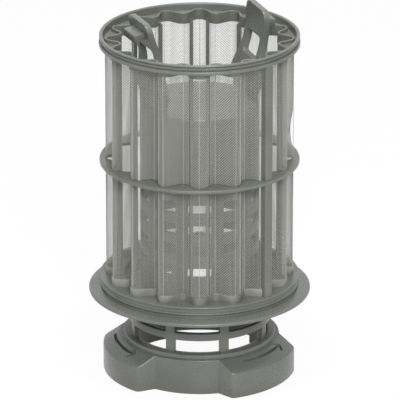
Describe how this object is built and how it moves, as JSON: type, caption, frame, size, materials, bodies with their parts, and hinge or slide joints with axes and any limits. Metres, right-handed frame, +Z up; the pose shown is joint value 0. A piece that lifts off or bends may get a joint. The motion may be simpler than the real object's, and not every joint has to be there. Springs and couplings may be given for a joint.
{
  "type": "dishwasher filter",
  "caption": "Cylindrical dishwasher filter: a corrugated fine mesh cylinder in a ringed frame that lifts off a coarse filter with a twist knob, flange, slotted basket and latch arms.",
  "frame": {"origin": "middle of the twist knob's bottom face, which the filter stands on", "axes": "+Z up along the cylinder's axis from the knob to the latch tabs, -Y towards the viewer of the picture"},
  "size_m": [0.084, 0.084, 0.1419],
  "materials": {
    "grey_plastic": "satin moulded polypropylene",
    "frame_plastic": "satin moulded polypropylene",
    "woven_mesh": "fine woven polyester mesh"
  },
  "bodies": {
    "coarse_filter": {"coarse_filter": "grey_plastic"},
    "micro_filter": {"cylinder_frame": "frame_plastic", "mesh_screen": "woven_mesh"}
  },
  "joints": [
    {"name": "cylinder_lift", "type": "slide", "parent": "coarse_filter", "child": "micro_filter", "axis": [0, 0, 1], "range_m": [0, 0.112]}
  ]
}
